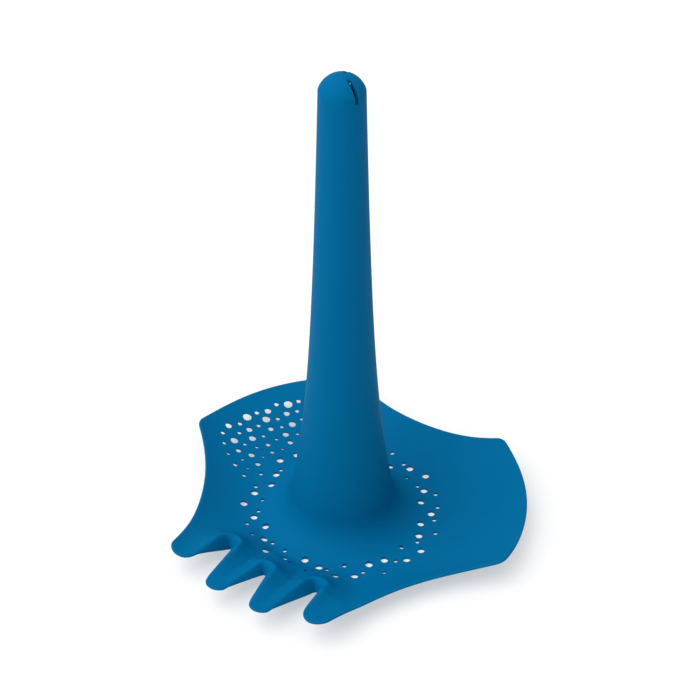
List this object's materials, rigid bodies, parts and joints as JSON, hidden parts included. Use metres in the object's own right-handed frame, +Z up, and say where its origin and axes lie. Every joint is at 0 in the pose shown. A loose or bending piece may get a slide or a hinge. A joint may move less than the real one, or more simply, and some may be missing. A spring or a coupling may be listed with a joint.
{
  "type": "upright sand tool",
  "caption": "Upright beach tool: a shallow three-lobed dish with a spade edge, a pierced sieve and a rake edge on a tall hollow tapered handle with a slit domed end.",
  "frame": {"origin": "on the handle's axis, in the plane that the tool stands on", "axes": "+Z up along the handle, +X out along the spade lobe; the sieve lies at 120 degrees and the rake at 240 degrees"},
  "size_m": [0.1947, 0.2098, 0.282],
  "materials": {
    "blue_plastic": "satin moulded"
  },
  "bodies": {
    "root": {"blade_dish": "blue_plastic", "handle": "blue_plastic", "end_cap": "blue_plastic"}
  },
  "joints": []
}
